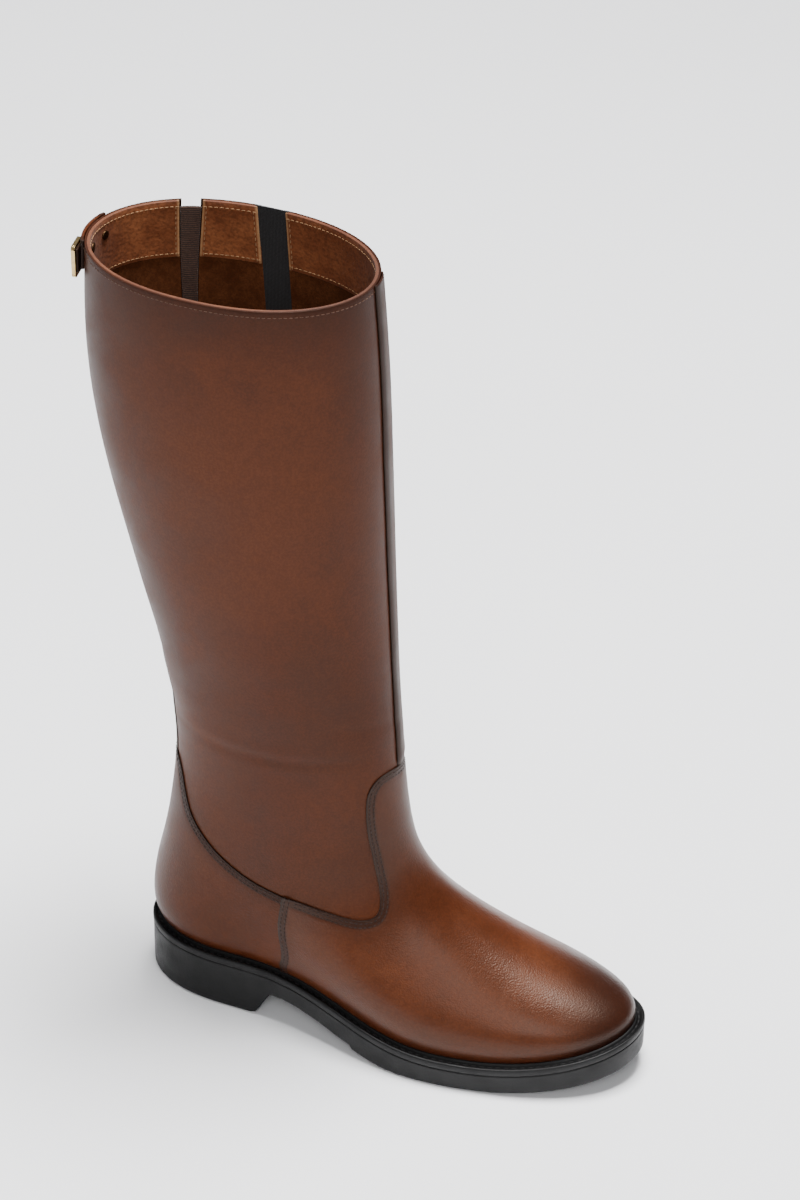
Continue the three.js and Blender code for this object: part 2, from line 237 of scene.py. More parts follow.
def apply_modifiers(obj):
    make_active(obj)
    for modifier in list(obj.modifiers):
        bpy.ops.object.modifier_apply(modifier=modifier.name)


def edit_all(obj, *tools):
    """Runs mesh tools, each with its settings, on everything in one mesh."""
    make_active(obj)
    bpy.ops.object.mode_set(mode="EDIT")
    bpy.ops.mesh.select_all(action="SELECT")
    for tool, settings in tools:
        tool(**settings)
    bpy.ops.object.mode_set(mode="OBJECT")


def merge(mm):
    return bpy.ops.mesh.remove_doubles, {"threshold": mm * MM}


def shade(obj, degrees):
    """Smooth shading that keeps edges sharper than an angle."""
    make_active(obj)
    bpy.ops.object.shade_smooth_by_angle(angle=math.radians(degrees))


def soften(obj, width, segments, degrees):
    """Adds a bevel on the edges sharper than an angle."""
    soft = obj.modifiers.new("Soft", "BEVEL")
    soft.width = width
    soft.segments = segments
    soft.limit_method = "ANGLE"
    soft.angle_limit = math.radians(degrees)


FACE_OUT = (bpy.ops.mesh.normals_make_consistent, {"inside": False})


def read(obj, name):
    """One number per point, as stored on the mesh."""
    values = np.empty(len(obj.data.vertices))
    obj.data.attributes[name].data.foreach_get("value", values)
    return values


def write(obj, name, values):
    layer = obj.data.attributes.get(name) or obj.data.attributes.new(name, "FLOAT", "POINT")
    layer.data.foreach_set("value", np.asarray(values, dtype=np.float32))


def place(obj, points):
    """Moves every point of the mesh to its place, given in mm."""
    obj.data.vertices.foreach_set("co", (points * MM).ravel())
    obj.data.update()


def steps_of(path):
    """Lengths of the steps along a path of points."""
    return np.linalg.norm(np.diff(path, axis=0), axis=1)


def run_of(path):
    """Distance from the start of a path to each of its points."""
    return np.concatenate([[0], np.cumsum(steps_of(path))])


def turn_at(turn_of, row):
    return turn_of(np.array([row]))[0]


def unit_grid(name, columns, lines):
    """Flat grid, with how far its points lie across and along it, from 0 to 1."""
    obj = new_form(name, bpy.ops.mesh.primitive_grid_add, size=1, x_subdivisions=columns,
                   y_subdivisions=lines)
    flat = np.empty(len(obj.data.vertices) * 3)
    obj.data.vertices.foreach_get("co", flat)
    across, along = flat.reshape(-1, 3)[:, :2].T + 0.5
    return obj, across, along


def flat_sheet(name, left, right, low, high, pitch):
    """Even grid cut flat, in turns and rows, between two lines up the boot."""
    rows = np.linspace(low, high, 200)
    steps = np.zeros(len(rows) - 1)
    width = 0
    for share in np.linspace(0, 1, 9):
        steps = np.maximum(steps, steps_of(skin(mix(left(rows), right(rows), share), rows)))
    for row in rows[::10]:
        path = skin(np.linspace(turn_at(left, row), turn_at(right, row), 60), row)
        width = max(width, steps_of(path).sum())
    run = np.concatenate([[0], np.cumsum(steps)])
    columns, lines = max(4, int(width / pitch)), max(3, int(run[-1] / pitch))
    obj, across, along = unit_grid(name, columns, lines)
    row = np.interp(along * run[-1], run, rows)
    write(obj, "turn", mix(left(row), right(row), across))
    write(obj, "row", row)
    return obj


def soft_line(points):
    """Smooth line through points in turns and rows, sampled every half millimetre or so."""
    p = np.array(points, float)
    q = np.vstack([2 * p[0] - p[1], p, 2 * p[-1] - p[-2]])
    t = np.linspace(0, len(p) - 1, 40 * (len(p) - 1) + 1)
    i = np.minimum(t.astype(int), len(p) - 2)
    f = (t - i)[:, None]
    a, b, c, d = q[i], q[i + 1], q[i + 2], q[i + 3]
    curve = 2 * b + (c - a) * f + (2 * a - 5 * b + 4 * c - d) * f**2 + (3 * b - a - 3 * c + d) * f**3
    return even(0.5 * curve)


def even(line, pitch=0.5):
    """The same line with its points a pitch in mm apart over the boot."""
    parts = np.linspace(0, 1, 12, endpoint=False)[:, None]
    fine = np.concatenate([mix(line[:-1, None], line[1:, None], parts).reshape(-1, 2), line[-1:]])
    run = run_of(skin(*fine.T))
    at = np.linspace(0, run[-1], max(2, int(run[-1] / pitch) + 1))
    return np.stack([np.interp(at, run, fine[:, 0]), np.interp(at, run, fine[:, 1])], -1)


def inside(points, loop):
    """Which flat points lie inside a closed line."""
    a, b = loop, np.roll(loop, -1, 0)
    count = np.zeros(len(points), int)
    for (x0, y0), (x1, y1) in zip(a, b):
        if y0 == y1:
            continue
        span = (points[:, 1] > min(y0, y1)) & (points[:, 1] <= max(y0, y1))
        count += span & (points[:, 0] < x0 + (points[:, 1] - y0) * (x1 - x0) / (y1 - y0))
    return count % 2 == 1


def tree_of(points):
    """Points stored for finding the nearest one."""
    tree = KDTree(len(points))
    for k, point in enumerate(points):
        tree.insert(point, k)
    tree.balance()
    return tree


LOOP_REACH = 4  # mm from which a border point is drawn onto the line


def trim(obj, loop, keep_inside=True):
    """Cuts the flat sheet along a closed line and draws its border onto that line."""
    turn, row = read(obj, "turn"), read(obj, "row")
    mesh = obj.data
    corners = np.empty(len(mesh.polygons) * 4, int)
    mesh.polygons.foreach_get("vertices", corners)
    corners = corners.reshape(-1, 4)
    middles = np.stack([turn[corners].mean(1), row[corners].mean(1)], -1)
    drop = inside(middles, loop) != keep_inside
    make_active(obj)
    bpy.ops.object.mode_set(mode="EDIT")
    bpy.ops.mesh.select_mode(type="FACE")
    bpy.ops.mesh.select_all(action="DESELECT")
    bpy.ops.object.mode_set(mode="OBJECT")
    mesh.polygons.foreach_set("select", drop)
    bpy.ops.object.mode_set(mode="EDIT")
    bpy.ops.mesh.delete(type="FACE")
    bpy.ops.mesh.select_mode(type="VERT")
    bpy.ops.object.mode_set(mode="OBJECT")
    turn, row = read(obj, "turn"), read(obj, "row")
    cage = bmesh.new()
    cage.from_mesh(mesh)
    border = sorted({v.index for e in cage.edges if e.is_boundary for v in e.verts})
    cage.free()
    tree = tree_of(skin(*loop.T))
    spots = skin(turn[border], row[border])
    for vertex, spot in zip(border, spots):
        _, k, far = tree.find(spot)
        if far < LOOP_REACH:
            turn[vertex], row[vertex] = loop[k]
    write(obj, "turn", turn)
    write(obj, "row", row)


def edge_distance(obj, lines, limit=60, name="edge"):
    """Millimetres from each point to the nearest of some lines."""
    tree = tree_of(np.concatenate([skin(*line.T) for line in lines]))
    spots = skin(read(obj, "turn"), read(obj, "row"))
    distance = np.array([tree.find(spot)[2] for spot in spots])
    write(obj, name, np.minimum(distance, limit))
    return distance


def is_closed(mesh):
    cage = bmesh.new()
    cage.from_mesh(mesh)
    closed = all(e.is_manifold for e in cage.edges)
    cage.free()
    return closed


def faces_out(obj):
    """True when the faces look outward: from the solid, or for an open sheet from the boot's middle line."""
    mesh = obj.data
    n = len(mesh.polygons)
    middles, normals = np.empty(n * 3), np.empty(n * 3)
    mesh.polygons.foreach_get("center", middles)
    mesh.polygons.foreach_get("normal", normals)
    middles, normals = middles.reshape(-1, 3), normals.reshape(-1, 3)
    if is_closed(mesh):
        return (middles * normals).sum() > 0
    line = np.stack([np.zeros(n), np.clip(middles[:, 1], -0.2, -0.02), middles[:, 2] - 0.01], -1)
    return ((middles - line) * normals).sum() > 0


def lasted(obj, height, thick, bevel=0.0, fold=1.0):
    """Draws the flat sheet onto the last at a height over it and gives it its thickness inward."""
    turn, row = read(obj, "turn"), read(obj, "row")
    at, _, _, normal, _, _ = skin_frame(turn, row)
    out = height + fold * drape(turn, row)
    place(obj, at + normal * out[:, None])
    edit_all(obj, merge(0.05), FACE_OUT)
    wall = obj.modifiers.new("Thickness", "SOLIDIFY")
    wall.thickness = thick * MM
    wall.offset = -1 if faces_out(obj) else 1
    wall.use_even_offset = False
    if bevel:
        soften(obj, bevel * MM, 2, 60)
    apply_modifiers(obj)
    if not faces_out(obj):
        edit_all(obj, (bpy.ops.mesh.flip_normals, {}))
    shade(obj, 50)


# ---- finishes
def mix_colour(a, b, t):
    return tuple(mix(x, y, t) for x, y in zip(a, b))


class Finish:
    """A material with a short way to add and join its nodes."""

    def __init__(self, name, colour, roughness, **fixed):
        self.material = bpy.data.materials.new(name)
        self.material.use_nodes = True
        self.tree = self.material.node_tree
        self.shader = self.tree.nodes["Principled BSDF"]
        self.shader.inputs["Base Color"].default_value = (*colour, 1)
        self.shader.inputs["Roughness"].default_value = roughness
        for socket, value in fixed.items():
            self.shader.inputs[socket.replace("_", " ")].default_value = value
        self.place = self.node("ShaderNodeTexCoord").outputs["Object"]
        self.material.diffuse_color = (*colour, 1)

    def node(self, kind, settings=None, **inputs):
        """Adds a node; an input is given by its name, or by i and its number."""
        node = self.tree.nodes.new(kind)
        for key, value in (settings or {}).items():
            setattr(node, key, value)
        for key, value in inputs.items():
            socket = int(key[1:]) if key[1:].isdigit() else key.replace("_", " ")
            self.feed(node.inputs[socket], value)
        return node

    def feed(self, socket, value):
        if isinstance(value, bpy.types.NodeSocket):
            self.tree.links.new(value, socket)
        else:
            socket.default_value = value

    def maths(self, operation, a, b=0.0, c=0.0, clamp=False):
        settings = {"operation": operation, "use_clamp": clamp}
        return self.node("ShaderNodeMath", settings, i0=a, i1=b, i2=c).outputs[0]

    def span(self, value, low, high, start=0.0, end=1.0, soft=True):
        """Turns a range of a value into another range, and holds it at both ends."""
        settings = {"interpolation_type": "SMOOTHSTEP" if soft else "LINEAR"}
        return self.node("ShaderNodeMapRange", settings, Value=value, From_Min=low, From_Max=high,
                         To_Min=start, To_Max=end).outputs[0]

    def clouds(self, scale, detail=3.0, roughness=0.5, distortion=0.0):
        return self.node("ShaderNodeTexNoise", Vector=self.place, Scale=scale, Detail=detail,
                         Roughness=roughness, Distortion=distortion).outputs["Fac"]

    def pebbles(self, scale):
        settings = {"feature": "SMOOTH_F1"}
        return self.node("ShaderNodeTexVoronoi", settings, Vector=self.place, Scale=scale).outputs["Distance"]

    def bands(self, direction, scale, **inputs):
        settings = {"bands_direction": direction}
        return self.node("ShaderNodeTexWave", settings, Vector=self.place, Scale=scale,
                         **inputs).outputs["Fac"]

    def blend(self, share, a, b):
        """Goes from colour a to colour b by a share."""
        node = self.node("ShaderNodeMix", {"data_type": "RGBA"}, i0=share)
        for socket, value in ((node.inputs[6], a), (node.inputs[7], b)):
            self.feed(socket, (*value, 1) if isinstance(value, tuple) else value)
        return node.outputs[2]

    def measure(self, name):
        """A number stored on the points of the mesh."""
        return self.node("ShaderNodeAttribute", {"attribute_name": name}).outputs["Fac"]

    def relief(self, height, strength, distance, under=None):
        node = self.node("ShaderNodeBump", Height=height, Strength=strength, Distance=distance)
        if under:
            self.feed(node.inputs["Normal"], under)
        return node.outputs["Normal"]

    def finish(self, colour=None, roughness=None, normal=None):
        for socket, value in (("Base Color", colour), ("Roughness", roughness), ("Normal", normal)):
            if value is not None:
                self.feed(self.shader.inputs[socket], value)
        return self.material


DARK = (0.008, 0.0022, 0.0011)
BURNT_AND_SHADE_TONE = (0.0125, 0.0031, 0.0015)
DEEP = (0.024, 0.0058, 0.0023)
BROWN = (0.068, 0.0163, 0.0048)
WARM = (0.1, 0.0272, 0.0082)
CUT_EDGE = (0.009, 0.0035, 0.0022)


def burnished_leather(name, shine, glaze):
    f = Finish(name, BROWN, 0.4, Coat_Weight=glaze, Coat_Roughness=0.22, Specular_IOR_Level=shine,
               Specular_Tint=(1, 0.8, 0.66, 1))
    broad = f.clouds(6.5, 2, 0.5, 0.2)
    mottled = f.clouds(34, 4, 0.6, 0.4)
    fine = f.clouds(260, 3, 0.6)
    patina = f.maths("ADD", f.maths("MULTIPLY", broad, 0.6), f.maths("MULTIPLY", mottled, 0.28))
    patina = f.maths("ADD", patina, f.maths("MULTIPLY", fine, 0.12))
    colour = f.blend(f.span(patina, 0.34, 0.5, soft=False), mix_colour(DEEP, BROWN, 0.45), BROWN)
    colour = f.blend(f.span(patina, 0.48, 0.68, 0.0, 0.85, False), colour, WARM)
    # Burnish, together with painted shade on the toe's inner side and on the shin, darkens the leather
    # towards the burnt tone
    colour = f.blend(f.maths("MULTIPLY", f.measure("burnish_and_shade"), 0.85, clamp=True), colour, BURNT_AND_SHADE_TONE)
    specks = f.span(f.clouds(800, 2, 0.6), 0.36, 0.62, 0.0, 0.2)
    colour = f.blend(specks, colour, DARK)
    near = f.measure("edge")
    for low, high, share, tone in (1.0, 15.0, 0.4, DEEP), (3.8, 5.4, 0.66, DARK), (0.25, 1.2, 0.93, CUT_EDGE):
        colour = f.blend(f.span(near, low, high, share, 0.0), colour, tone)
    grain = f.measure("grain")
    pebble = f.maths("ADD", f.pebbles(1250), f.maths("MULTIPLY", f.clouds(2100, 3, 0.6), 0.5))
    waves = f.relief(f.clouds(40, 2, 0.5), 0.08, 0.0014)
    normal = f.relief(pebble, f.maths("MULTIPLY", grain, 0.32), 0.00026, waves)
    gloss = f.maths("ADD", f.span(mottled, 0.3, 0.7, 0.28, 0.39), f.maths("MULTIPLY", fine, 0.05))
    gloss = f.maths("ADD", gloss, f.span(grain, 0.4, 1.0, 0.14, 0.0))
    return f.finish(colour, gloss, normal)


def facing_leather():
    f = Finish("facing leather", (0.17, 0.055, 0.02), 0.58, Specular_IOR_Level=0.25, Sheen_Weight=0.06)
    tone = f.blend(f.span(f.clouds(32, 5, 0.65), 0.35, 0.65), (0.17, 0.048, 0.0158), (0.272, 0.09, 0.0325))
    tone = f.blend(f.span(f.clouds(520, 3, 0.6), 0.42, 0.65, 0, 0.4), tone, (0.06, 0.017, 0.006))
    tone = f.blend(f.span(f.measure("raw"), 0.5, 1.6, 0.8, 0), tone, (0.42, 0.22, 0.1))
    # Burnish, together with painted shade, darkens the facing towards a near-black brown
    tone = f.blend(f.span(f.measure("burnish_and_shade"), 0.5, 1.0, 0, 0.85), tone, (0.035, 0.0095, 0.0035))
    normal = f.relief(f.pebbles(650), 0.35, 0.0004, f.relief(f.clouds(60, 3), 0.4, 0.0018))
    return f.finish(tone, 0.6, normal)


def suede_lining():
    f = Finish("suede lining", (0.1, 0.03, 0.01), 0.95, Specular_IOR_Level=0.1, Sheen_Weight=0.2,
               Sheen_Roughness=0.5, Sheen_Tint=(0.5, 0.25, 0.12, 1))
    tone = f.blend(f.span(f.clouds(90, 5, 0.7), 0.35, 0.65), (0.07, 0.019, 0.006), (0.125, 0.040, 0.014))
    tone = f.blend(f.span(f.clouds(900, 3, 0.7), 0.42, 0.6, 0, 0.5), tone, (0.05, 0.016, 0.006))
    return f.finish(tone, 0.95, f.relief(f.clouds(1100, 4, 0.8), 0.6, 0.0006))


def black_rubber():
    f = Finish("black rubber", (0.005, 0.0049, 0.005), 0.45, Specular_IOR_Level=0.2)
    patches = f.span(f.clouds(30, 4, 0.6), 0.35, 0.65)
    tone = f.blend(patches, (0.0024, 0.0023, 0.0024), (0.005, 0.0048, 0.0049))
    scuff = f.span(f.clouds(240, 5, 0.75, 1.5), 0.6, 0.74, 0, 0.3)
    tone = f.blend(scuff, tone, (0.024, 0.023, 0.023))
    rough = f.span(f.clouds(70, 4, 0.6), 0.3, 0.7, 0.36, 0.56)
    return f.finish(tone, rough, f.relief(f.clouds(900, 4, 0.75), 0.3, 0.0004))


def thread(name, colour):
    f = Finish(name, colour, 0.6, Specular_IOR_Level=0.2, Sheen_Weight=0.05)
    twist = f.bands("DIAGONAL", 900.0)
    tone = f.blend(f.span(twist, 0.2, 0.8, 0, 0.35), colour, tuple(c * 0.4 for c in colour))
    return f.finish(tone, None, f.relief(twist, 0.4, 0.0002))


def woven_tape():
    f = Finish("black zip tape", (0.012, 0.012, 0.013), 0.8, Specular_IOR_Level=0.3, Sheen_Weight=0.2)
    weave = f.maths("MULTIPLY", f.bands("Z", 420.0), f.bands("Y", 420.0))
    tone = f.blend(f.span(weave, 0.1, 0.7), (0.007, 0.007, 0.008), (0.022, 0.022, 0.024))
    return f.finish(tone, None, f.relief(weave, 0.5, 0.0003))


def ribbed_elastic():
    f = Finish("ribbed elastic", (0.06, 0.03, 0.02), 0.85, Specular_IOR_Level=0.2, Sheen_Weight=0.25)
    ribs = f.bands("Z", 300.0, Distortion=0.6, Detail=2.0, Detail_Scale=4.0)
    knit = f.clouds(1300, 2, 0.6)
    tone = f.blend(f.span(ribs, 0.15, 0.85), (0.030, 0.014, 0.009), (0.085, 0.042, 0.027))
    tone = f.blend(f.span(knit, 0.4, 0.65, 0, 0.5), tone, (0.02, 0.009, 0.006))
    return f.finish(tone, None, f.relief(f.maths("ADD", ribs, knit), 0.6, 0.0004))


def black_metal():
    f = Finish("black zip metal", (0.02, 0.02, 0.022), 0.24, Metallic=0.85, Coat_Weight=0.5,
               Coat_Roughness=0.12)
    wear = f.span(f.clouds(380, 4, 0.7), 0.58, 0.75, 0, 0.5)
    tone = f.blend(wear, (0.018, 0.018, 0.02), (0.09, 0.085, 0.085))
    rough = f.span(f.clouds(160, 3), 0.3, 0.7, 0.18, 0.34)
    return f.finish(tone, rough, f.relief(f.clouds(500, 2), 0.05, 0.0002))


def yellow_metal(name, bright, dull, low, high):
    f = Finish(name, bright, low, Metallic=1.0)
    tone = f.blend(f.span(f.clouds(260, 4, 0.7), 0.5, 0.72, 0, 0.6), bright, dull)
    rough = f.span(f.clouds(120, 3), 0.3, 0.7, low, high)
    return f.finish(tone, rough, f.relief(f.clouds(700, 2), 0.05, 0.0002))


LEATHER = burnished_leather("burnished brown leather", 0.14, 0.05)
FOOT_LEATHER = burnished_leather("glazed brown leather", 0.22, 0.08)
FACING = facing_leather()
SUEDE = suede_lining()
RUBBER = black_rubber()
DARK_THREAD = thread("dark brown thread", (0.02, 0.0085, 0.005))
TAN_THREAD = thread("tan thread", (0.36, 0.2, 0.1))
BROWN_THREAD = thread("brown thread", (0.085, 0.037, 0.02))
BLACK_THREAD = thread("black thread", (0.012, 0.011, 0.011))
TAPE = woven_tape()
ELASTIC = ribbed_elastic()
BLACK_METAL = black_metal()
GILT = yellow_metal("pale gilt metal", (0.6, 0.43, 0.2), (0.28, 0.18, 0.075), 0.14, 0.3)
BRONZE = yellow_metal("dark bronze", (0.09, 0.05, 0.024), (0.04, 0.022, 0.012), 0.32, 0.48)

# Where pieces end, in mm from the middle of the zip
LEATHER_EDGE, OVERLAY_EDGE, LINING_EDGE, FACING_EDGE = 6.0, 6.2, 7.2, 7.6
STITCH_INSETS = (1.7, 3.9)  # the double row along the seams
FACING_LOW = 15.36  # section row of the lower edge of the facing


def dress(obj, material, body="boot", replaces=()):
    """Gives a piece its one material, its body and the CAD nodes it stands for."""
    obj.data.materials.clear()
    obj.data.materials.append(material)
    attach(obj, body)
    if replaces:
        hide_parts(*replaces)
    return obj


# ---- leather pieces
def reach(row, at, mm):
    """Turns that stand for a distance in mm round the boot."""
    row = np.atleast_1d(np.asarray(row, float))
    return mm / skin_frame(at(row) if callable(at) else np.full(row.shape, at), row)[4]


def before_zip(mm):
    """Line a distance in front of the middle of the zip."""
    return lambda row: zip_turn(row) - reach(row, zip_turn, mm)


def behind_zip(mm):
    """Line a distance behind the middle of the zip, one turn lower."""
    return lambda row: zip_turn(row) - 1 + reach(row, zip_turn, mm)


def line_of(turn_of, low, high, count=60):
    rows = np.linspace(low, high, count)
    return np.stack([turn_of(rows), rows], -1)


def gusset_edge(side, spare):
    """Line beside the elastic, a distance past its edge; side is 1 or -1."""
    return lambda row: gusset_turn(row) + side * reach(row, gusset_turn, 1.0) * (gusset_half(row) + spare)


def gusset_loop(spare):
    """Closed line round the elastic, open to the collar."""
    rows = np.linspace(GUSSET_LOW_ROW, TOP_ROW + 0.3, 40)
    held = np.minimum(rows, TOP_ROW)
    half = reach(held, gusset_turn, 1.0) * (gusset_half(held) + spare)
    middle = gusset_turn(held) - 1
    sides = np.stack([middle - half, rows], -1), np.stack([middle + half, rows], -1)[::-1]
    return even(np.concatenate(sides))


def burnish_and_shade_of(obj):
    """Darkens toe, feather line, heel, collar, instep and shin, and sets how pebbled the grain is. The toe's
    tip is burnished, and its far, inner side is painted shade; the shin's darkening is painted shade.
    """
    turn, row = read(obj, "turn"), read(obj, "row")
    at = skin(turn, row)
    # Burnished toe tip, plus painted shade: the toe darkens further towards its inner side, away from the
    # lamps
    toe = smooth((-174 - at[:, 1] + 0.45 * at[:, 0]) / 55)
    foot = 0.3 * bell((at[:, 2] - seat(at[:, 1])) / 7)
    heel = 0.12 * bell(row / 4) * (at[:, 1] > -20)
    collar = 0.4 * smooth((row - 15.25) / 0.8) + 0.45 * bell((TOP_ROW - row) * ROW_RISE / 1.6)
    tongue = 0.55 * bell((turn - 0.5) / 0.13) * bell((row - 6.8) / 2.3)
    # Painted shade: the front of the shaft, turned away from the lamps, is darkened
    shin = 0.3 * bell((turn - 0.47) / 0.1) * smooth((row - 9) / 1.5)
    write(obj, "burnish_and_shade", np.clip(toe + foot + heel + collar + tongue + shin, 0, 1))
    creased = 1.3 * bell((turn - 0.29) / 0.11) * bell((row - 3.4) / 2.2)
    write(obj, "grain", mix(1, 0.4, smooth((row - 5) / 5)) + creased)


def shaft_piece(name, pitch, low, high, gap, height, thick, material, spare, replaces=()):
    """Tube from one side of the zip round to the other, with a notch for the elastic."""
    sheet = flat_sheet(name, behind_zip(gap), before_zip(gap), low, high, pitch)
    notch = gusset_loop(spare)
    trim(sheet, notch, keep_inside=False)
    lines = [notch, line_of(behind_zip(gap), low, high, 400), line_of(before_zip(gap), low, high, 400)]
    edge_distance(sheet, lines)
    edge_distance(sheet, lines, name="raw")
    burnish_and_shade_of(sheet)
    lasted(sheet, height, thick, 0.3 if pitch < 3 else 0)
    dress(sheet, material, replaces=replaces)


shaft_piece("shaft", 2.6, 0, TOP_ROW, LEATHER_EDGE, 0.0, 1.1, LEATHER, 0.0, replaces=("upper",))
shaft_piece("lining", 3.2, 0.15, 15.55, LINING_EDGE, -1.25, 0.7, SUEDE, 0.9)
shaft_piece("facing", 2.4, FACING_LOW, TOP_ROW, FACING_EDGE, -1.12, 1.58, FACING, 1.2)

SIDE_SEAM = [(0.187, -0.01), (0.189, 0.68), (0.194, 1.43), (0.212, 2.8), (0.233, 4.2), (0.262, 5.82)]
VAMP_TOP = [
    (0.262, 5.82), (0.284, 5.68), (0.304, 5.5), (0.333, 5.28), (0.358, 5.42), (0.379, 5.88), (0.394, 6.5),
    (0.401, 7.2), (0.401, 7.9), (0.403, 8.5), (0.41, 8.95), (0.43, 9.21), (0.46, 9.26), (0.495, 9.22),
    (0.542, 9.15), (0.572, 9.08), (0.59, 8.85), (0.598, 8.4), (0.6, 7.7), (0.601, 6.95), (0.61, 6.25),
    (0.63, 5.65), (0.66, 5.35), (0.69, 5.45), (0.72, 5.75), (0.7545, 6.05),
]
COUNTER_TOP = [
    (0.262, 5.78), (0.225, 6.15), (0.192, 6.75), (0.165, 7.3), (0.131, 8.05), (0.11, 8.72), (0.095, 9.2),
    (0.075, 9.52), (0.045, 9.68), (0, 9.72), (-0.045, 9.68), (-0.075, 9.52), (-0.095, 9.2), (-0.11, 8.72),
    (-0.131, 8.05), (-0.165, 7.3), (-0.19, 6.8), (-0.2195, 6.4),
]
INNER_SEAM = [(0.8205, 2.42), (0.826, 1.4), (0.83, 0.6), (0.832, -0.01)]

side_seam, vamp_top, inner_seam = soft_line(SIDE_SEAM), soft_line(VAMP_TOP), soft_line(INNER_SEAM)
counter_top = soft_line(COUNTER_TOP)
zip_front = line_of(before_zip(OVERLAY_EDGE), 6.05, 2.5)
zip_back = even(line_of(behind_zip(OVERLAY_EDGE), 6.4, 2.45))


def steady(turn):
    """Line straight up the boot."""
    return lambda row: turn + 0 * row


def stitch_grooves(near):
    """Depth that the double row of stitches pulls in, by the distance from the edge."""
    return 0.3 * sum(bell((near - inset) / 0.75) for inset in STITCH_INSETS)


def vamp_piece():
    sheet = flat_sheet("vamp", steady(0.18), steady(0.84), -0.01, 9.4, 1.7)
    foot = even(np.array([(0.832, -0.01), (0.187, -0.01)]))
    under_zip = even(np.array([zip_front[-1], INNER_SEAM[0]]))
    edges = [side_seam, vamp_top, even(zip_front), under_zip, inner_seam]
    trim(sheet, np.concatenate(edges + [foot]))
    near = edge_distance(sheet, edges)
    lap = edge_distance(sheet, [side_seam, inner_seam], name="lap")
    burnish_and_shade_of(sheet)
    height = 1.0 + 0.8 * (1 - smooth(lap / 10)) - 0.25 * bell(near / 0.9)
    lasted(sheet, height - stitch_grooves(near), 1.15, 0.22)
    dress(sheet, FOOT_LEATHER)


def counter_piece():
    sheet = flat_sheet("counter", steady(-0.235), steady(0.28), -0.01, 9.8, 1.7)
    outer = soft_line([(0.215, -0.01), (0.217, 0.7), (0.222, 1.43), (0.24, 2.8), (0.255, 4.2), (0.272, 5.6)])
    inner = even(np.array([zip_back[-1], (-0.192, 2.3), (-0.19, -0.01)]))
    foot = even(np.array([(-0.19, -0.01), (0.215, -0.01)]))
    trim(sheet, np.concatenate([outer, counter_top, zip_back, inner, foot]))
    near = edge_distance(sheet, [counter_top, zip_back])
    burnish_and_shade_of(sheet)
    lasted(sheet, 0.9 - 0.2 * bell(near / 0.9) - stitch_grooves(near), 1.05, 0.22)
    dress(sheet, LEATHER)


vamp_piece()
counter_piece()

# Left edge of the front strip: section row and turn
STRIP_LINE = np.array([
    [8.7, 0.484], [9.8, 0.492], [11, 0.498], [12.6, 0.499], [14.2, 0.493], [15.3, 0.496], [16, 0.497],
])
STRIP_WIDE = 15


def strip_left(row):
    return np.interp(row, STRIP_LINE[:, 0], STRIP_LINE[:, 1])


def strip_right(row):
    return strip_left(row) + reach(row, 0.54, STRIP_WIDE)


def band(name, left, right, low, high, height, thick, material, pitch=1.5, replaces=(), fold=1.0,
         round_off=0.35, tuck=0.0, darken_share=1.0, dark=0.0):
    """Narrow strip laid on the boot, with soft edges and its lower end tucked in."""
    sheet = flat_sheet(name, left, right, low, high, pitch)
    near = edge_distance(sheet, [line_of(left, low, high, 600), line_of(right, low, high, 600)])
    burnish_and_shade_of(sheet)
    # Burnish and painted shade, scaled by a share, plus an extra darkening
    write(sheet, "burnish_and_shade", np.minimum(darken_share * read(sheet, "burnish_and_shade") + dark, 1))
    tucked = tuck * (1 - smooth((read(sheet, "row") - low - 0.2) / 0.35))
    lasted(sheet, height - round_off * bell(near / 1.5) - tucked, thick, 0.25, fold)
    dress(sheet, material, replaces=replaces)


def stay_half(row):
    """Half the width of the back stay, in turns; it widens down to the ankle."""
    return reach(row, 0.0, 5) * (1 + 1.7 * smooth((13.6 - row) / 3))


band("front_strip", strip_left, strip_right, 8.9, TOP_ROW, 1.5, 0.9, LEATHER, 1.2, round_off=0.75,
     tuck=1.0)
# The back stay is darkened towards the burnt tone; this dark stay also stands in for the dark outline along
# the back edge, which is painted shade
band("back_stay", lambda r: -stay_half(r), stay_half, 9.4, TOP_ROW, 0.7, 0.65, LEATHER, dark=0.8)
band("elastic_gusset", gusset_edge(-1, 0.6), gusset_edge(1, 0.6), GUSSET_LOW_ROW - 0.03,
     TOP_ROW - 3.5 / ROW_RISE, -1.12, 1.0, ELASTIC, replaces=("gusset",))


# ---- stitches
def inset_line(line, mm):
    """The same line moved sideways over the leather, to its left when mm is positive."""
    at, side, up, normal, stretch, climb = skin_frame(*line.T)
    run = np.gradient(at, axis=0)
    run /= np.linalg.norm(run, axis=1)[:, None] + 1e-12
    across = np.cross(normal, run) * mm
    lean = (side * up).sum(1)
    a, b = (across * side).sum(1), (across * up).sum(1)
    scale = 1 - lean**2
    turn = line[:, 0] + (a - lean * b) / scale / stretch
    row = line[:, 1] + (b - lean * a) / scale / climb
    return np.stack([turn, row], -1)


def take_shape(obj):
    """Points and faces of a finished small pattern, which then leaves the scene."""
    shape = np.array([v.co[:] for v in obj.data.vertices])
    faces = [tuple(p.vertices) for p in obj.data.polygons]
    bpy.data.objects.remove(obj)
    return shape, faces


